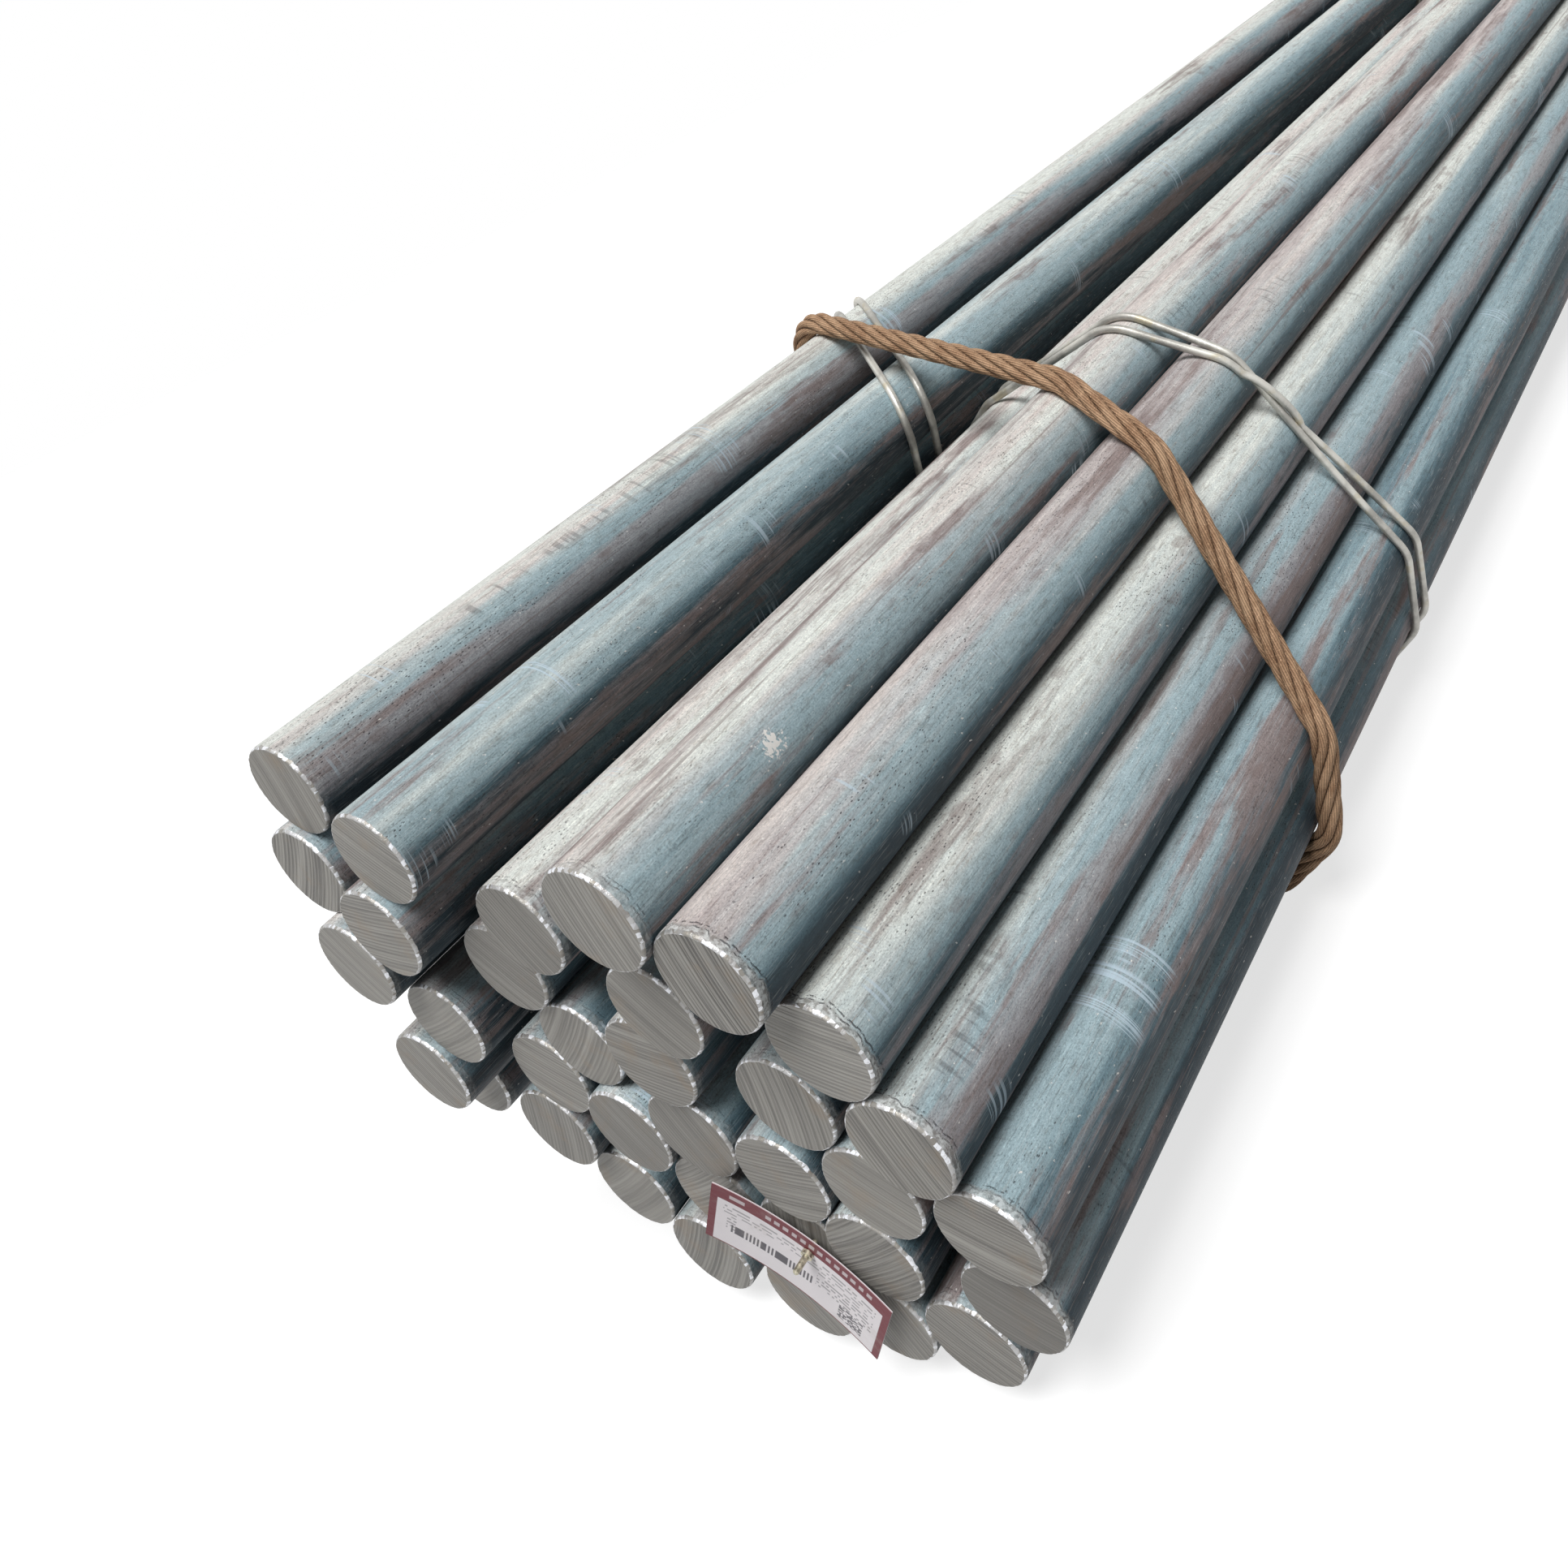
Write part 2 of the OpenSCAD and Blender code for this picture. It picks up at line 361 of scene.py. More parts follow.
class ScalePaint(Paint):
    """Paint whose patterns are stretched along the bars and lie elsewhere on each bar, with
    the patterns that the parts of the mill scale share."""

    def __init__(self, name):
        super().__init__(name)
        self.xyz = self.object_xyz()
        seed = self.attribute("seed")
        self.shift = self.join(self.times(seed, 3.1), self.times(seed, 7.7), seed)
        self.lit = self.attribute("lit")
        # distance from the end that carries the tag
        _, self.back, _ = self.split(self.uv())
        band = self.field((1.5, 34, 34), detail=4, rough=0.6, warp=0.3)
        self.wander = self.times(self.minus(band, 0.5), 1.6)
        self.blush = self.field((2.2, 46, 46), (9, 4, 1), detail=4, rough=0.62)
        self.earth = self.field((3.0, 38, 38), (3, 8, 6), detail=5, rough=0.68)
        self.mottle = self.field((110, 210, 210), detail=4, rough=0.68)
        self.line = self.field((42, 800, 800), detail=4, rough=0.7)
        self.hair = self.field((70, 1500, 1500), detail=1)
        self.grain = self.noise(self.stretch(self.xyz, (760, 1150, 1150)), detail=3, rough=0.75)
        self.chips = self.field((420, 300, 300), detail=3, rough=0.65)

    def place(self, scale, move=None):
        """Object coordinates times scale, moved by the bar's own shift and by move."""
        shift = self.stretch(self.shift, (1, 1, 1), move) if move else self.shift
        return self.stretch(self.xyz, scale, shift)

    def field(self, scale, move=None, **noise):
        return self.noise(self.place(scale, move), **noise)

    def frayed(self, scale, x, y, much):
        """As place, with the edges of what lies there frayed by two patterns."""
        fray = self.stretch(self.join(x, y, x), (much, much, much), self.shift)
        return self.stretch(self.xyz, scale, fray)


def lighter(color, k):
    return tuple(min(1.0, c * k) for c in color)


def scale_zones(p, s):
    """Colour round the bar, from a pale or pinkish film on its weathered side over blue to deep blue, with
    blushes, fine streaks and a few long brown lines along it. The weathered side is also painted as the lit
    side, so the film there is partly painted light, and the deep blue on the far side is painted shade."""
    # zone runs from about 1 on the weathered side of the bar, which is painted lit, to -1 on the far side,
    # which is painted in shade
    zone = p.plus(p.lit, p.wander, p.attribute("pale"))
    flush = p.plus(p.blush, p.attribute("pink"))
    film = p.lay(s.pale, s.pink, flush, 0.44, 0.66)
    # teal and film towards the lit side: partly the scale's own film, partly painted light
    color = p.lay(s.blue, s.sheen, zone, -0.4, 0.2)
    color = p.lay(color, film, zone, 0.2, 0.9)
    # painted shade: deep blue on the far side from the lit side
    color = p.lay(color, s.deep, zone, 0.0, -0.75, 0.95)
    color = p.lay(color, s.blush, p.plus(p.earth, p.attribute("warm")), 0.5, 0.66, 0.6)
    color = p.lay(color, s.brown, p.plus(p.earth, p.times(flush, 0.2)), 0.63, 0.76, 0.75)
    # lighter and darker streaks and grains that keep the scale's own hue
    for field, low, high, light, dark in (
            (p.mottle, 0.3, 0.72, (1.14, 1.13, 1.12), (0.8, 0.77, 0.75)),
            (p.line, 0.28, 0.76, (1.3, 1.28, 1.26), (0.62, 0.58, 0.56)),
            (p.grain, 0.3, 0.72, (1.4, 1.38, 1.35), (0.58, 0.57, 0.57))):
        color = p.lay(color, light, field, 0.52, high, blend="MULTIPLY")
        color = p.lay(color, dark, field, 0.49, low, blend="MULTIPLY")
    color = p.lay(color, s.bright, p.hair, 0.58, 0.72, 0.2)
    return p.lay(color, s.brown, p.field((0.9, 210, 210), (1, 2, 3), detail=1), 0.71, 0.74, 0.5)


def scale_marks(p, s, color):
    """What lies on the scale all along the bar. Returns the colour and the pits."""
    # dark pits, in drifts
    pits = p.cells(p.place((260, 480, 480)))
    drift = p.field((7, 40, 40), (5, 5, 5), detail=2)
    pit = p.times(p.level(pits, 0.26, 0.1), p.level(drift, 0.48, 0.62))
    # soft dark stains, a finger wide
    stain = p.cells(p.frayed((34, 60, 60), p.mottle, p.earth, 0.5))
    spots = p.times(p.level(stain, 0.3, 0.16), p.level(p.earth, 0.47, 0.56))
    # rubbed patches: short thin dark strokes across the bar
    strokes = p.field((230, 16, 16), detail=2)
    rubbed = p.field((9, 30, 30), (2, 8, 3), detail=2)
    rub = p.times(p.level(strokes, 0.54, 0.64), p.level(rubbed, 0.6, 0.72))
    # sets of fine pale lines partway round the bar, where it was knocked
    rings = p.field((520, 5, 5), (1, 3, 7), detail=1)
    knocked = p.field((16, 14, 14), (6, 1, 2), detail=2)
    knock = p.times(p.level(rings, 0.54, 0.6), p.level(knocked, 0.645, 0.7))
    for mark, much, over in (
            (pit, 0.8, s.pit), (spots, 0.4, s.brown), (rub, 0.4, s.pit), (knock, 0.6, s.ring)):
        color = p.mix(p.times(mark, much), color, over)
    # the same at each bar's own distances from its sawn end, on its weathered, lit side
    near_hoop = [p.level(p.apart(p.back, hoop), 0.007, 0.0035)
                 for hoop in p.split(p.attribute("hoops", "Vector"))]
    hoops = p.times(p.most(0.0, *near_hoop), p.level(p.lit, 0.3, 0.6))
    fine_rings = p.level(p.field((950, 10, 10), (2, 3, 7), detail=1), 0.5, 0.58, 0.04, 0.75)
    color = p.mix(p.times(hoops, fine_rings), color, s.ring)
    # fine rust-coloured streaks low on the flank
    low = p.apart(p.plus(p.lit, p.times(p.wander, 0.3)), 0.2)
    rust = p.times(p.level(low, 0.06, 0.0), p.level(p.line, 0.5, 0.62), p.level(p.blush, 0.56, 0.64))
    color = p.mix(p.times(rust, 0.7), color, s.rust)
    # a splash of lime where a bar has one, broken at its edge
    reach = p.distance(p.xyz, p.attribute("splash", "Vector"))
    reach = p.plus(reach, p.times(p.minus(p.chips, 0.5), 0.035))
    color = p.lay(color, s.lime, reach, 0.0054, 0.0044, 0.9)
    # flakes of lime and dust
    flake = p.cells(p.frayed((95, 120, 120), p.mottle, p.grain, 0.7))
    return p.lay(color, s.lime, flake, 0.085, 0.05, 0.85), pit


def scale_by_the_end(p, s, color):
    """Crumbled scale by the sawn end, then two broken dark lines round the bar. Returns the
    colour and the lines."""
    crumbled, ended = 0.005, 0.0075  # crumbled as far as the one, not beyond the other
    grooves, half_gap = 0.0068, 0.0011  # where the two lines are
    fine, faded = 0.0002, 0.0006  # half width of a line, and of its edge
    chip = p.attribute("chip")
    uneven = p.field((12, 45, 45), (4, 4, 9), detail=2)
    back = p.plus(p.back, p.level(uneven, 0.25, 0.75, -0.0015, 0.0015))
    crumb = p.times(p.level(back, ended, crumbled), chip)
    color = p.mix(p.times(crumb, 0.75), color, p.lay(s.earthy, s.bright, p.chips, 0.36, 0.62))
    off = p.apart(p.apart(back, grooves), half_gap)
    groove = p.times(p.level(off, faded, fine), p.level(p.chips, 0.46, 0.56), chip)
    return p.mix(p.times(groove, 0.75), color, s.pit), groove


def mill_scale(s):
    """Hot-rolled scale: its zones round the bar, then pits, stains, knocks, rust and lime, and
    crumbled scale by the sawn end."""
    p = ScalePaint("mill_scale")
    color = scale_zones(p, s)
    color, pit = scale_marks(p, s, color)
    color, groove = scale_by_the_end(p, s, color)
    rough = p.level(p.plus(p.times(p.line, 0.5), p.times(p.grain, 0.5)), 0.3, 0.7, 0.5, 0.68)
    height = p.plus(p.times(p.line, 0.5), p.times(p.grain, 0.6), p.times(p.hair, 0.3))
    height = p.minus(p.minus(height, p.times(pit, 0.9)), p.times(groove, 1.5))
    return p.finish(color, rough, 0.0, 0.2, p.bump(height, 0.0004, 0.8))


def sawn_steel(s):
    """Sawn end: parallel saw marks at each bar's own slope and depth, warm grey, with stains."""
    bow = 1.5  # the marks bend a little, as the blade does
    pitch = 2100  # of the saw's finest marks, in radians a metre
    p = Paint("sawn_end")
    xyz = p.object_xyz()
    seed = p.attribute("seed")
    hub = p.attribute("hub", "Vector")
    tone, _, _ = p.split(hub)
    _, y, z = p.split(p.stretch(hub, (-1, -1, -1), xyz))
    cs, sn, deep = p.split(p.attribute("saw", "Vector"))
    across = p.plus(p.times(y, cs), p.times(z, sn))
    along = p.minus(p.times(z, cs), p.times(y, sn))
    bent = p.plus(across, p.times(along, along, bow))

    def marks(fine, lengthwise, rough):
        return p.noise(p.join(p.times(bent, fine), p.times(along, lengthwise), seed), detail=2, rough=rough)

    broad = marks(120, 5, 0.5)
    coarse = marks(430, 7, 0.6)
    fine = marks(1300, 25, 0.6)
    grit = p.noise(p.stretch(xyz, (900, 900, 900)), detail=2, rough=0.6)
    stain = p.noise(p.stretch(xyz, (1, 34, 34), p.join(seed, 0.0, 0.0)), detail=4, rough=0.6)
    tooth = p.math("SINE", p.plus(p.times(bent, pitch), p.times(coarse, 8)))
    color = s.sawn
    for over, field, low, high, much in (
            (s.sawn_dark, coarse, 0.42, 0.6, deep),
            (s.sawn_dark, tooth, 0.3, 1.0, p.times(deep, 0.9)),
            (s.sawn_light, tooth, -0.2, -1.0, p.times(deep, 0.6)),
            (s.sawn_light, broad, 0.5, 0.75, 0.5),
            (s.sawn_dark, broad, 0.5, 0.28, 0.45),
            (s.sawn_light, fine, 0.5, 0.72, 0.35),
            (s.sawn_dark, fine, 0.48, 0.3, 0.4),
            (s.sawn_light, grit, 0.6, 0.75, 0.3),
            (s.stain, stain, 0.52, 0.74, 0.55)):
        color = p.lay(color, over, field, low, high, much)
    # a tone above 0 darkens a face and one below 0 lightens it
    color = p.mix(p.most(tone, 0.0), color, s.sawn_dark)
    color = p.mix(p.most(p.times(tone, -1.0), 0.0), color, s.sawn_light)
    height = p.plus(p.times(coarse, p.plus(deep, 0.2)), p.times(fine, 0.3))
    height = p.minus(height, p.times(tooth, p.times(deep, 0.12)))
    return p.finish(color, p.level(fine, 0.3, 0.7, 0.45, 0.6), 0.1, 0.35, p.bump(height, 0.0007, 0.8))


def ground_rim(s):
    """The bevel round a sawn end: short flats, most of them bright, some with painted glints, some dull or
    chipped.
    """
    p = Paint("ground_rim")
    xyz = p.object_xyz()
    seed = p.attribute("seed")
    shift = p.join(seed, p.times(seed, 5.3), seed)
    flats = p.cells(p.stretch(xyz, (90, 370, 370), shift), output="Color")
    shine, glint, chipped = p.split(flats)
    fleck = p.noise(p.stretch(xyz, (700, 700, 700), shift), detail=3, rough=0.7)
    color = p.lay(s.sawn, s.rim, shine, 0.1, 0.7)
    # painted highlights: near-white glints on some of the flats
    color = p.lay(color, s.glint, glint, 0.68, 0.8, 0.85)
    color = p.lay(color, s.earthy, chipped, 0.8, 0.9, 0.6)
    color = p.lay(color, s.stain, fleck, 0.55, 0.7, 0.5)
    height = p.plus(p.times(shine, 0.5), p.times(fleck, 0.6))
    return p.finish(color, p.level(fleck, 0.3, 0.7, 0.34, 0.55), 0.55, 0.5, p.bump(height, 0.0009, 0.7))


def drawn_wire(s):
    """Tie wire: dull grey drawn wire with darker and yellowish lengths."""
    p = Paint("tie_wire")
    xyz = p.object_xyz()
    patch = p.noise(xyz, 26, 4, 0.6)
    stain = p.noise(xyz, 60, 3, 0.6)
    fleck = p.noise(xyz, 900, 2)
    color = p.lay(s.dark, s.light, patch, 0.35, 0.62)
    color = p.lay(color, s.stain, stain, 0.55, 0.72, 0.5)
    color = p.lay(color, lighter(s.light, 1.3), fleck, 0.6, 0.75, 0.4)
    normal = p.bump(p.plus(fleck, stain), 0.0002, 0.6)
    return p.finish(color, p.level(fleck, 0.3, 0.7, 0.36, 0.52), 0.5, 0.5, normal)


def rusty_rope(s):
    """Wire rope: each strand's outer wires show as fine slanting ridges, brown with paler
    worn crowns and dark hollows."""
    wires = 12.0  # outer wires of a strand
    slant = 185.0  # wires passed in a metre along the rope
    p = Paint("rope_wire")
    u, v, _ = p.split(p.uv())
    xyz = p.object_xyz()
    passed = p.plus(p.times(u, wires), p.times(v, slant))
    ridge = p.math("ABSOLUTE", p.math("SINE", p.times(passed, math.pi)))
    rust = p.noise(xyz, 55, 4, 0.65)
    grit = p.noise(xyz, 900, 3, 0.7)
    color = p.lay(s.dark, s.light, rust, 0.3, 0.7)
    # the side of each strand that faces the core is darkened almost to black, and the grooves between its
    # wires too
    color = p.mix(p.level(p.attribute("crown"), 0.15, 0.85, 0.92, 0.0), color, s.hollow)
    color = p.lay(color, s.hollow, ridge, 0.6, 0.05, 0.65)
    color = p.lay(color, lighter(s.light, 1.6), grit, 0.52, 0.72, 0.65)
    height = p.plus(ridge, p.times(grit, 0.4))
    return p.finish(color, 0.72, 0.0, 0.3, p.bump(height, 0.0005, 0.8))


def printed_tag(s):
    """Printed tag: the print is stored in the mesh as colours; the surface is slightly creased
    and soiled."""
    p = Paint("tag_print")
    xyz = p.object_xyz()
    crease = p.noise(xyz, 90, 3, 0.6)
    soil = p.noise(xyz, 45, 4, 0.65)
    color = p.lay(p.attribute("print", "Color"), s.soil, soil, 0.55, 0.8, 0.35)
    return p.finish(color, 0.42, 0.0, 0.15, p.bump(crease, 0.0008, 0.5))


def pin_metal(s):
    """The tag's pin: dull yellowish metal in dark and light spots."""
    p = Paint("pin_metal")
    spot = p.noise(p.object_xyz(), 420, 3, 0.65)
    color = p.lay(lighter(s.pin, 0.45), lighter(s.pin, 1.15), spot, 0.35, 0.68)
    return p.finish(color, p.level(spot, 0.3, 0.7, 0.3, 0.5), 0.7, 0.5, p.bump(spot, 0.0003, 0.6))


# ---------------------------------------------------------------- settings

def colour(name, text, value):
    return FloatVectorProperty(
        name=name, description=text, default=value, subtype="COLOR", size=3, min=0, max=1)


def length(name, text, value):
    return FloatProperty(
        name=name, description=text, default=value, subtype="DISTANCE", unit="LENGTH", min=0, precision=4)


def angle(name, text, degrees):
    return FloatProperty(
        name=name, description=text, default=math.radians(degrees), subtype="ANGLE", unit="ROTATION")


def strength(name, text, value):
    return FloatProperty(name=name, description=text, default=value, min=0)


class BarSettings(PropertyGroup):
    bevel: length("Bevel", "Width of the ground edge round a sawn end", 0.0014)
    ragged: length("Ragged edge", "How far the bevel's edges wander", 0.0005)
    sides: IntProperty(name="Sides", description="Points round a bar", default=168, min=24)
    # blue, sheen, pale and pink run round each bar towards its lit side, partly as painted light
    blue: colour("Blue scale", "Blue scale on the sides", (0.145, 0.24, 0.285))
    sheen: colour("Teal scale", "Scale between the film and the blue", (0.345, 0.455, 0.495))
    blush: colour("Blush", "Pinkish-grey tint in patches", (0.42, 0.36, 0.365))
    pale: colour("Pale film", "Greenish-white film", (0.74, 0.77, 0.73))
    pink: colour("Pink film", "Pinkish film", (0.68, 0.62, 0.59))
    brown: colour("Brown scale", "Brown patches and long lines", (0.22, 0.165, 0.155))
    # deep: painted shade on the far side of each bar
    deep: colour("Deep scale", "Darkest blue scale", (0.026, 0.04, 0.052))
    bright: colour("Bright lines", "Bright rolling lines and crumbs", (0.7, 0.72, 0.71))
    ring: colour("Rings", "Fine pale lines round the bar", (0.56, 0.68, 0.77))
    pit: colour("Pits", "Pits, rubbed patches and dark lines", (0.04, 0.038, 0.042))
    earthy: colour("Crumbs", "Crumbled scale by a sawn end", (0.2, 0.185, 0.17))
    rim: colour("Rim", "Ground edge of a sawn end", (0.5, 0.5, 0.5))
    # glint: painted highlight on the brightest flats of the ground edge
    glint: colour("Glint", "Brightest flats of the ground edge", (0.93, 0.95, 1.0))
    sawn: colour("Sawn steel", "Sawn end", (0.29, 0.276, 0.25))
    sawn_dark: colour("Saw marks", "Dark lines of a sawn end", (0.09, 0.085, 0.078))
    sawn_light: colour("Sawn shine", "Light lines of a sawn end", (0.47, 0.455, 0.42))
    lime: colour("Lime", "Flakes and splashes of lime and dust", (0.85, 0.82, 0.78))
    rust: colour("Rust", "Rust-coloured streaks", (0.3, 0.15, 0.08))
    stain: colour("Stain", "Warm stain on sawn steel", (0.29, 0.225, 0.16))


class TieSettings(PropertyGroup):
    thickness: length("Thickness", "Diameter of the tie wire", 0.0065)
    spread: length("Spread", "Distance between the two turns", 0.034)
    dark: colour("Dark", "Dull lengths of wire", (0.36, 0.35, 0.32))
    light: colour("Light", "Clean lengths of wire", (0.68, 0.665, 0.61))
    stain: colour("Stain", "Yellowish stain", (0.5, 0.42, 0.24))


class RopeSettings(PropertyGroup):
    thickness: length("Thickness", "Diameter of the rope", 0.0188)
    lay: FloatProperty(name="Lay", description="Full turn of a strand, in rope diameters", default=8.0, min=3)
    strands: IntProperty(name="Strands", description="Strands round the core", default=6, min=3)
    light: colour("Light rust", "Worn crowns of the strands", (0.58, 0.375, 0.23))
    dark: colour("Dark rust", "Dark rust", (0.34, 0.19, 0.105))
    # hollow: near-black on the side of each strand that faces the core and in the grooves between its wires
    hollow: colour("Hollows", "Grease and dirt between strands", (0.025, 0.017, 0.012))


class TagSettings(PropertyGroup):
    long: length("Length", "Length of the tag", 0.125)
    wide: length("Width", "Width of the tag", 0.066)
    thick: length("Thickness", "Thickness of the tag", 0.001)
    bow: length("Bow", "Radius that the tag is bent to", 0.340)
    slope: angle("Slope", "Slope of the long edge", -40)
    band: colour("Band", "Printed band and border", (0.155, 0.01, 0.022))
    paper: colour("Paper", "Ground of the tag", (0.92, 0.875, 0.90))
    ink: colour("Ink", "Printed lines", (0.045, 0.04, 0.055))
    soil: colour("Soil", "Dirt on the tag", (0.5, 0.44, 0.4))
    pin: colour("Pin", "Pin through the tag", (0.60, 0.56, 0.43))


class StageSettings(PropertyGroup):
    sun: strength("Key light", "Strength of the soft key light", 3.1)
    fill: strength("Fill", "Strength of the light from all round", 0.09)
    ground: colour("Floor", "Colour of the floor", (0.4, 0.4, 0.4))
    azimuth: angle("Azimuth", "How far the camera is turned from the bars' own direction", 38.974)
    elevation: angle("Elevation", "How far the camera looks down", 15.875)
    roll: angle("Roll", "How far the camera is rolled to its right", 25.451)
    lens: FloatProperty(name="Lens", description="Focal length in millimetres", default=33.18, min=10)


# ---------------------------------------------------------------- pieces

class BUNDLE_OT_bars(Operator):
    """Every bar as a turned surface with a ground, slightly ragged edge at both sawn ends"""
    bl_idname = "bundle.bars"
    bl_label = "Bars"

    # by node number: how much more film a bar has, how pink that is, the side that carries it (degrees from
    # the horizontal), which is also painted lit while the far side is painted in shade, and how crumbled the
    # scale is by its sawn end
    LOOK = {32: (0.05, -0.02, 108, 0.2), 30: (-0.47, -0.06, 80, 0.15), 26: (0.12, 0.04, 101, 0.5),
            25: (-0.1, 0.16, 98, 1.0), 21: (0.2, -0.1, 110, 1.0), 17: (-0.66, -0.02, 74, 0.9),
            10: (-0.85, 0.0, 74, 0.8), 5: (-0.85, 0.03, 74, 0.8), 23: (-0.1, 0.03, 100, 0.5),
            24: (0.15, 0.0, 100, 0.5)}
    # middle and half width in degrees of a pinkish band along the bar, by node number
    BAND = {17: (15, 24), 21: (-24, 22), 32: (0, 28)}
    # distances from the sawn end of the sets of fine pale lines, by node number
    HOOPS = {10: (0.167, 0.147, 0.124), 30: (0.141, NOWHERE, NOWHERE)}
    # distance from the sawn end and angle of a splash of lime, by node number
    SPLASH = {26: (0.119, 19)}
    # slope of the saw marks, their depth and how dark the face is, by node number
    SAWN = {32: (81, 0.3, 0.0), 31: (43, 0.7, 0.0), 30: (-43, 0.6, -0.15), 26: (-89, 0.7, -0.2),
            25: (-88, 1.0, 0.1), 21: (-17, 1.0, -0.35), 17: (-80, 0.6, 0.0), 10: (-23, 0.5, 0.0),
            28: (-60, 0.4, -0.2), 27: (20, 0.4, -0.2), 24: (-70, 0.5, 0.2), 23: (-50, 0.4, 0.2),
            5: (-30, 0.4, 0.5), 14: (-65, 0.3, 0.4), 15: (-75, 0.4, 0.3), 11: (60, 0.4, 0.25)}

    RIPPLES = np.array([9, 14, 21, 27, 33, 41, 52])  # waves round a sawn edge
    DENT = 0.00018  # how deep the edge is dented
    FLAT_STRIPS, RIM_STRIPS = 3, 3  # strips of faces on a sawn end and on its bevel
    # distances from the sawn end of the rings along the bar
    RINGS = (0.012, 0.025, 0.05, 0.1, 0.2, 0.4, 0.7, 1.0, 1.4, 1.9, 2.6, 3.4, 4.2, 5.0, 5.6)

    def sawn_edge(self, s, r, a, rng):
        """Rings (distance from the end, radius) of a sawn end and its bevel b. Its inner edge is
        at radius r - b * inner and its outer one 1.35 b * outer from the end, where inner and
        outer are 1 plus a share of a closed ripple times ragged / b. Dents lower the outer one."""
        b = s.bevel
        one = np.ones_like(a)
        inner = 1 + 0.3 * waves(rng, a, self.RIPPLES) * s.ragged / b
        outer = 1 + 0.45 * waves(rng, a, self.RIPPLES) * s.ragged / b
        dent = self.DENT * np.abs(waves(rng, a, self.RIPPLES))
        flat = [(0 * one, (r - b) * share * one) for share in (0.12, 0.55, 0.9)]
        return flat + [
            (0 * one, r - b * inner),
            (b * 0.12 * one, r - b * inner * 0.72),
            (b * 0.55 * one, r - b * 0.3 - dent),
            (b * 1.35 * outer, r - dent),
            (b * 2.2 * outer, r * one)]

    def shape(self, s, i, a, rng):
        """A bar as rings of radius r(a) at x(a), where a goes round it. Rows run from the near
        face's middle over its bevel, along the bar and over the far bevel."""
        (cy, cz), r, back, front = AXES[i]
        one = np.ones_like(a)
        near = self.sawn_edge(s, r, a, rng)
        far = self.sawn_edge(s, r, a, rng)
        rows = [(front - d, q) for d, q in near]
        rows += [((front - d) * one, r * one) for d in self.RINGS]
        rows += [(back + d, q) for d, q in reversed(far)]
        x = np.array([d for d, _ in rows])
        rad = np.array([q for _, q in rows])
        verts = np.stack([x, cy + rad * np.cos(a), cz + rad * np.sin(a)], -1).reshape(-1, 3)
        return verts, x

    def zones(self, rows, cols):
        """Material slot of each face, by how many strips it is from the nearer end; the last
        two are the faces that close the ends."""
        row = np.arange((rows - 1) * cols) // cols
        strip = np.minimum(row, rows - 2 - row)
        zone = np.where(strip < self.FLAT_STRIPS + self.RIM_STRIPS, RIM, PLAIN)
        zone[strip < self.FLAT_STRIPS] = SAWN_FACE
        return np.append(zone, [SAWN_FACE, SAWN_FACE])

    def looks(self, i, a, rng):
        """What the materials read from a bar: numbers, of which some go by the angle a round
        the bar, and triples."""
        number = i + 1
        usual = (
            rng.uniform(-0.7, -0.1), rng.uniform(-0.05, 0.06), rng.uniform(75, 110), rng.uniform(0.1, 0.5))
        pale, pink, side, chip = self.LOOK.get(number, usual)
        usual = (rng.uniform(-90, 90), rng.uniform(0.2, 0.7), rng.uniform(-0.1, 0.15))
        slope, deep, tone = self.SAWN.get(number, usual)
        # lit: 1 on the side painted lit, -1 on the far side painted in shade
        lit = np.cos(a - math.radians(side))
        warm = 0.8 * pink * lit
        if number in self.BAND:
            middle, half = np.radians(self.BAND[number])
            warm = 0.17 * np.clip(10 * (np.cos(a - middle) - math.cos(half)), -1, 1)
        square = math.radians(slope - 90)
        (cy, cz), r, _, front = AXES[i]
        gone, turn = self.SPLASH.get(number, (NOWHERE, 0))
        turn = math.radians(turn)
        numbers = {"seed": i * 1.37 + 0.4, "pale": pale, "pink": pink, "chip": chip, "lit": lit, "warm": warm}
        triples = {
            "hub": (tone, cy, cz),
            "saw": (math.cos(square), math.sin(square), deep),
            "hoops": self.HOOPS.get(number, (NOWHERE, NOWHERE, NOWHERE)),
            "splash": (front - gone, cy + r * math.cos(turn), cz + r * math.sin(turn)),
        }
        return numbers, triples

    def execute(self, context):
        s = context.scene.bundle_bars
        mats = [mill_scale(s), sawn_steel(s), ground_rim(s)]
        a = np.arange(s.sides) * 2 * math.pi / s.sides
        round_it = np.arange(s.sides + 1) / s.sides * 2 * math.pi * BAR_R
        first = np.arange(s.sides)
        for i, node in enumerate(BARS):
            rng = np.random.default_rng(100 + i)
            verts, x = self.shape(s, i, a, rng)
            rows, cols = x.shape
            faces, uv = turned_round(grid_faces(rows, cols), grid_uv(round_it, x[0].max() - x.mean(1)))
            ends = (first, first[::-1] + (rows - 1) * cols)
            piece = make_object(node + "_steel", verts, faces, uv, ends=ends)
            for m in mats:
                piece.data.materials.append(m)
            zone = self.zones(rows, cols)
            piece.data.polygons.foreach_set("material_index", zone)
            piece.data.polygons.foreach_set("use_smooth", zone != SAWN_FACE)
            numbers, triples = self.looks(i, a, rng)
            for name, value in numbers.items():
                point_values(piece, name, np.broadcast_to(value, (rows, cols)))
            for name, value in triples.items():
                point_values(piece, name, np.broadcast_to(value, (rows * cols, 3)), "FLOAT_VECTOR")
            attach(piece, "root")
            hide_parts(node)
        return {"FINISHED"}


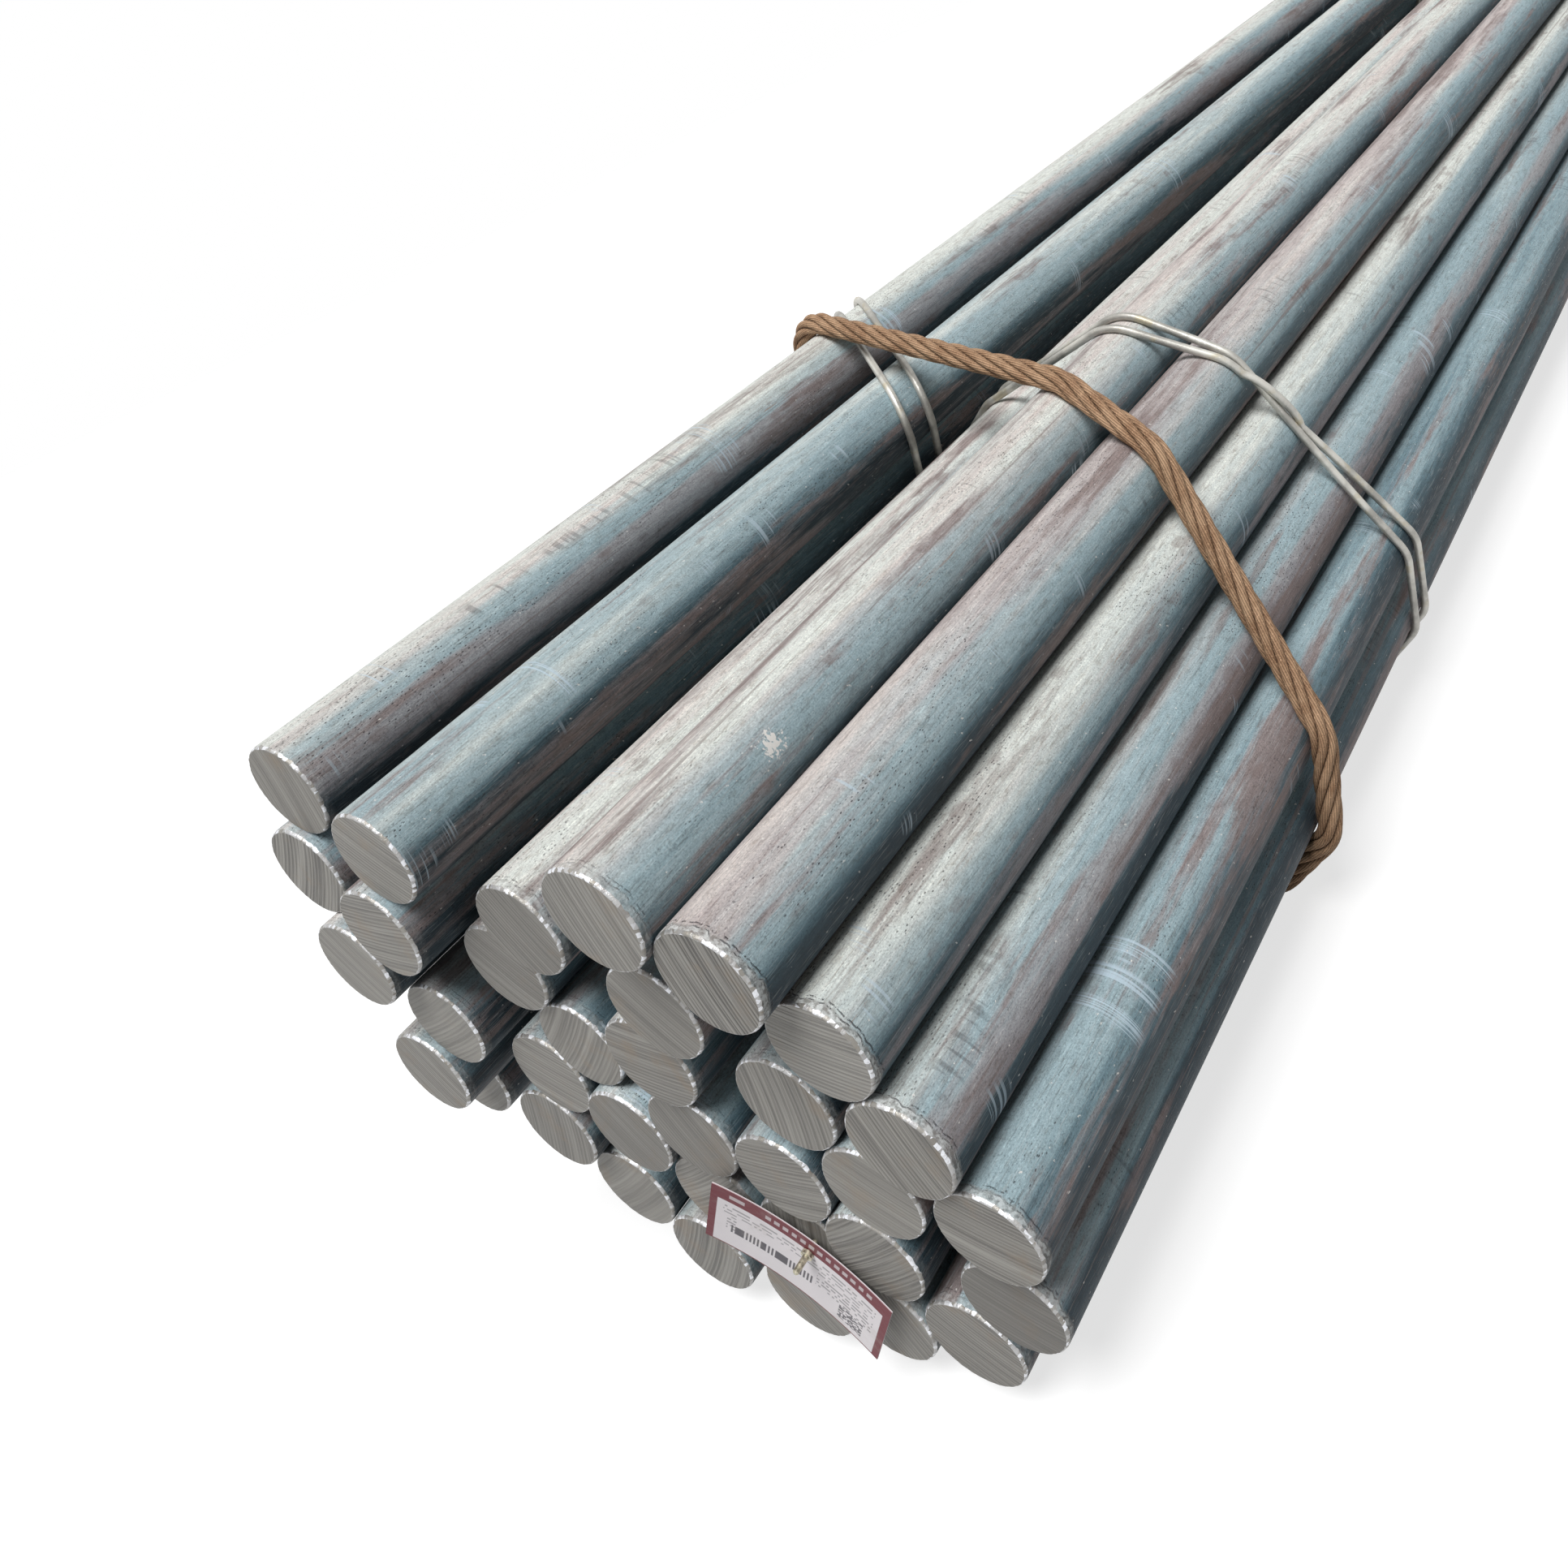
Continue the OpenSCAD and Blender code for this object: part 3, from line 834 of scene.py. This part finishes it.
class BUNDLE_OT_ties(Operator):
    """Every tie as one round wire that goes round its group twice"""
    bl_idname = "bundle.ties"
    bl_label = "Tie wires"

    SPACING, SIDES = 0.004, 10
    LEAN = {"right": (0.0, 0.22), "left": (0.85, -0.1)}  # x gained by y and by z
    # share of the turn at which the two turns cross, by group and for the right group's last
    MEET = {"right": 0.46, "left": 0.97}
    LAST_MEET = 0.12
    SNAP = 0.12  # the smaller, the shorter the crossing

    def execute(self, context):
        s = context.scene.bundle_ties
        paint = drawn_wire(s)
        rho = BAR_R + SEAT + s.thickness / 2
        for node in TIES:
            _, group, number = node.split("_")
            last = group == "right" and number == "4"
            meet = self.LAST_MEET if last else self.MEET[group]
            once, out, gone = taut_line(WRAPS[group], rho, self.SPACING)
            n = 2 * len(once)
            part = np.concatenate([gone[:-1] / gone[-1], 1 + gone[:-1] / gone[-1]])
            yz, out = np.tile(once, (2, 1)), np.tile(out, (2, 1))
            # the turns lie half the spread to either side and cross where c passes 0; there
            # the second one is lifted over the first
            c = np.cos(math.pi * (part - meet) + math.pi / 2)
            off = s.spread / 2 * c / np.sqrt(c * c + self.SNAP)
            gap = 2 * np.abs(off)
            lift = np.sqrt(np.maximum(0, (s.thickness + SEAT) ** 2 - gap ** 2)) * (part >= 1)
            x = slanting_x(node, yz, self.LEAN[group], off)
            path = np.column_stack([x, yz + out * lift[:, None]])
            verts = tube(path, np.column_stack([np.zeros(n), out]), s.thickness / 2, self.SIDES)
            step = np.linalg.norm(np.roll(path, -1, 0) - path, axis=1)
            uv = grid_uv(np.arange(self.SIDES + 1) / self.SIDES, np.concatenate([[0], np.cumsum(step)]))
            piece = make_object(node + "_wire", verts, grid_faces(n, self.SIDES, True), uv)
            piece.data.materials.append(paint)
            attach(piece, "root")
            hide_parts(node)
        return {"FINISHED"}


class BUNDLE_OT_rope(Operator):
    """The wire rope as strands laid round a core along a taut path"""
    bl_idname = "bundle.rope"
    bl_label = "Wire rope"

    SPACING, SIDES = 0.0035, 14
    LEAN = (0.293, -0.121)  # x gained by y and by z
    SNUG = 1.03  # strands are this much thicker than would just touch

    def execute(self, context):
        s = context.scene.bundle_rope
        rho = BAR_R + SEAT + s.thickness / 2
        yz, out, gone = taut_line(WRAPS["rope"], rho, self.SPACING)
        path = np.column_stack([slanting_x("rope", yz, self.LEAN), yz])
        n = len(path)
        normal, beside = path_sides(path, np.column_stack([np.zeros(n), out]))
        # whole turns, so that every strand meets itself
        turns = round(gone[-1] / (s.lay * s.thickness))
        strand = s.thickness / 6
        a = np.arange(self.SIDES) * 2 * math.pi / self.SIDES
        verts, faces = [], []
        for k in range(s.strands):
            phase = 2 * math.pi * (turns * gone[:-1] / gone[-1] + k / s.strands)
            radial = np.cos(phase)[:, None] * normal + np.sin(phase)[:, None] * beside
            verts.append(tube(path + 2 * strand * radial, radial, strand * self.SNUG, self.SIDES))
            faces.append(grid_faces(n, self.SIDES, True) + k * n * self.SIDES)
        uv = np.tile(grid_uv(np.arange(self.SIDES + 1) / self.SIDES, gone), (s.strands, 1))
        piece = make_object("rope_strands", np.concatenate(verts), np.concatenate(faces), uv)
        # 1 on the outside of a strand, 0 on the side that faces the core
        point_values(piece, "crown", np.tile((1 + np.cos(a)) / 2, n * s.strands))
        piece.data.materials.append(rusty_rope(s))
        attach(piece, "root")
        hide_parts("rope")
        return {"FINISHED"}


def cell(value, start, span, count):
    """Which of count equal cells of the stretch from start a value is in."""
    return np.clip(((value - start) / span * count).astype(int), 0, count - 1)


def within(value, start, span):
    return (value > start) & (value < start + span)


class BUNDLE_OT_tag(Operator):
    """The bent printed tag and the pin that holds it"""
    bl_idname = "bundle.tag"
    bl_label = "Tag and pin"

    GRID = (300, 150)  # points along and across
    BAND, BORDER, RULE = 0.0125, 0.005, 0.0012  # widths of the band, the end borders, the lower one
    ROWS, DASHES = 8, 75  # rows of dashes and dashes in a row
    STRIPES, CHEQUERS = 46, 14

    def print_on(self, s, p, q):
        """Colour at p along and q across the tag, both in metres from its middle: a dark band
        along the upper edge, a thin border, rows of short dashes, a striped block and a
        chequered block."""
        rng = np.random.default_rng(7)
        col = np.broadcast_to(np.array(s.paper), p.shape + (3,)).copy()
        hl, hw = s.long / 2, s.wide / 2

        def put(mask, c, k=1.0):
            col[mask] = col[mask] * (1 - k) + np.array(c) * k

        for row in range(self.ROWS):
            at = hw - 0.0185 - row * 0.0036
            dashes = rng.random(self.DASHES) < 0.62
            mask = (np.abs(q - at) < 0.0008) & (np.abs(p) < hl - 0.009)
            mask &= dashes[cell(p, -hl, s.long, self.DASHES)]
            mask &= (row < 3) | (p > 0.012) | (np.abs(p + 0.047) < 0.003)
            put(mask, s.ink, 0.55)
        left, low, long, high = -0.047, -0.0145, 0.058, 0.009
        stripes = (rng.random(self.STRIPES) < 0.2) | (np.arange(self.STRIPES) % 2 == 0)
        block = within(p, left, long) & within(q, low, high)
        put(block & stripes[cell(p, left, long, self.STRIPES)], s.ink, 0.95)
        left, low, long, high = 0.030, -0.027, 0.018, 0.015
        cells = rng.random((self.CHEQUERS, self.CHEQUERS)) < 0.52
        block = within(p, left, long) & within(q, low, high)
        put(block & cells[cell(p, left, long, self.CHEQUERS), cell(q, low, high, self.CHEQUERS)], s.ink, 0.85)
        border = (q > hw - self.BAND) | (q < -hw + self.RULE) | (np.abs(p) > hl - self.BORDER)
        put(border, s.band)
        # a row of pale blocks in the band and one by itself at its start
        blocks = (p + hl) / s.long * 21
        mark = (blocks % 1 < 0.62) & (np.floor(blocks) > 5) & (np.floor(blocks) < 19)
        mark |= within(p, -hl + 0.012, 0.01)
        put((np.abs(q - hw + 0.0062) < 0.0019) & mark, s.paper, 0.6)
        return col

    def sheet(self, s, p, q, depth):
        """The bent sheet at a depth: x = bow - (bow - depth) cos(p / bow), and the way along
        it is (bow - depth) sin(p / bow). It is centred on the CAD tag in the plane of the
        sawn ends."""
        lo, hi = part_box("tag")
        sin, cos = math.sin(s.slope), math.cos(s.slope)
        x = s.bow - (s.bow - depth) * np.cos(p / s.bow)
        u = (s.bow - depth) * np.sin(p / s.bow)
        return np.stack([
            x, (lo.y + hi.y) / 2 + u * cos - q * sin, (lo.z + hi.z) / 2 + u * sin + q * cos], -1)

    def faces(self, nu, nv):
        """Back, front and edge of two grids of nu by nv points, the front's points last."""
        i = np.arange(nu - 1)[:, None] * nv + np.arange(nv - 1)[None, :]
        quad = np.stack([i, i + nv, i + nv + 1, i + 1], -1).reshape(-1, 4)
        edge = np.concatenate([
            np.arange(nu) * nv, (nu - 1) * nv + np.arange(1, nv),
            np.arange(nu - 2, -1, -1) * nv + nv - 1, np.arange(nv - 2, 0, -1)])
        ahead = np.roll(edge, -1)
        front = nu * nv
        side = np.stack([edge, ahead, ahead + front, edge + front], -1)
        return np.concatenate([quad[:, ::-1], quad + front, side])

    def execute(self, context):
        s = context.scene.bundle_tag
        nu, nv = self.GRID
        p, q = np.meshgrid(
            np.linspace(-0.5, 0.5, nu) * s.long, np.linspace(-0.5, 0.5, nv) * s.wide, indexing="ij")
        verts = np.concatenate([self.sheet(s, p, q, depth).reshape(-1, 3) for depth in (0.0, s.thick)])
        lo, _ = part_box("tag")
        verts[:, 0] += lo.x - verts[: nu * nv, 0].min()
        piece = make_object("tag_sheet", verts, self.faces(nu, nv), smooth=False)
        printed = self.print_on(s, p, q).reshape(-1, 3)
        col = np.concatenate([np.broadcast_to(np.array(s.paper), printed.shape), printed])
        point_values(piece, "print", np.column_stack([col, np.ones(len(col))]), "FLOAT_COLOR")
        piece.data.materials.append(printed_tag(s))
        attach(piece, "root")
        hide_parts("tag")
        metal = pin_metal(s)
        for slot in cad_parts["tag_pin"].material_slots:
            slot.material = metal
        return {"FINISHED"}


class BUNDLE_OT_stage(Operator):
    """Floor, light from all round, soft key light and camera"""
    bl_idname = "bundle.stage"
    bl_label = "Stage"

    FLOOR_HALF = 30.0
    WHITEN = 0.72  # the floor's own light where it is looked at, which makes it white
    KEY_FROM, KEY_ANGLE = Vector((0.37, 0.24, 0.90)), math.radians(30)
    CAMERA_OFF = Vector((0.3057, 0.8247, 0.6541))  # from the foremost sawn end and the first bar
    CAMERA_SHIFT = (-0.15211, -0.24286)

    def floor(self, s):
        h = self.FLOOR_HALF
        corners = [(-h, -h, 0), (h, -h, 0), (h, h, 0), (-h, h, 0)]
        obj = make_object("floor", corners, [[0, 1, 2, 3]], smooth=False)
        p = Paint("floor")
        p.finish(tuple(s.ground), 0.9, 0.0, 0.1)
        glow = p.add("Emission")
        p.put(glow.inputs["Strength"], p.times(p.looked_at(), self.WHITEN))
        both = p.add("AddShader", (p.shader.outputs[0], glow.outputs[0]))
        p.put(p.out.inputs[0], both.outputs[0])
        obj.data.materials.append(p.mat)

    def world(self, s):
        """White where it is looked at, and only as bright as the fill where it lights things."""
        world = bpy.data.worlds.new("studio")
        bpy.context.scene.world = world
        world.use_nodes = True
        n = Nodes(world.node_tree)
        sky = n.add("Background", ((1, 1, 1), n.level(n.looked_at(), 0.0, 1.0, s.fill, 1.0)))
        n.add("OutputWorld", [sky.outputs[0]])

    def lamp(self, s):
        lamp = bpy.data.lights.new("key", "SUN")
        lamp.energy = s.sun
        lamp.angle = self.KEY_ANGLE
        obj = link(bpy.data.objects.new("key", lamp))
        obj.rotation_euler = self.KEY_FROM.to_track_quat("Z", "Y").to_euler()

    def camera(self, s):
        """The camera stands in front of the tagged ends, to their right and above, and is
        rolled. level and upright are its sides before the roll."""
        cos, sin = math.cos, math.sin
        flat = Vector((cos(s.azimuth), sin(s.azimuth), 0))
        back = cos(s.elevation) * flat + Vector((0, 0, sin(s.elevation)))
        level = Vector((-flat.y, flat.x, 0))
        upright = back.cross(level)
        right = cos(s.roll) * level - sin(s.roll) * upright
        up = back.cross(right)
        cam = bpy.data.cameras.new("camera")
        cam.lens = s.lens
        cam.sensor_width = 36.0
        cam.shift_x, cam.shift_y = self.CAMERA_SHIFT
        cam.clip_start, cam.clip_end = 0.01, 200
        obj = link(bpy.data.objects.new("camera", cam))
        place = Vector((FOREMOST, *FIRST)) + self.CAMERA_OFF
        obj.matrix_world = Matrix.Translation(place) @ Matrix((right, up, back)).transposed().to_4x4()
        bpy.context.scene.camera = obj

    def execute(self, context):
        s = context.scene.bundle_stage
        self.floor(s)
        self.world(s)
        self.lamp(s)
        self.camera(s)
        context.scene.view_settings.view_transform = "Standard"
        return {"FINISHED"}


class BUNDLE_PT_panel(Panel):
    """Lists the pieces of the bundle with their sizes and colours"""
    bl_label = "Steel bar bundle"
    bl_idname = "BUNDLE_PT_panel"
    bl_space_type = "VIEW_3D"
    bl_region_type = "UI"
    bl_category = "Bars"

    def draw(self, context):
        for settings, (_, piece) in STEPS.items():
            box = self.layout.box()
            box.operator(piece.bl_idname)
            group = getattr(context.scene, settings)
            for name in group.__annotations__:
                box.prop(group, name)


# name of the settings in the scene, their group and the operator that reads them, in order
STEPS = {
    "bundle_bars": (BarSettings, BUNDLE_OT_bars),
    "bundle_ties": (TieSettings, BUNDLE_OT_ties),
    "bundle_rope": (RopeSettings, BUNDLE_OT_rope),
    "bundle_tag": (TagSettings, BUNDLE_OT_tag),
    "bundle_stage": (StageSettings, BUNDLE_OT_stage),
}
CLASSES = (*(c for step in STEPS.values() for c in step), BUNDLE_PT_panel)


def register():
    for c in CLASSES:
        bpy.utils.register_class(c)
    for name, (group, _) in STEPS.items():
        setattr(bpy.types.Scene, name, PointerProperty(type=group))


def unregister():
    for name in STEPS:
        delattr(bpy.types.Scene, name)
    for c in reversed(CLASSES):
        bpy.utils.unregister_class(c)


def main():
    register()
    bpy.ops.bundle.bars()
    bpy.ops.bundle.ties()
    bpy.ops.bundle.rope()
    bpy.ops.bundle.tag()
    bpy.ops.bundle.stage()


if __name__ == "__main__":
    main()
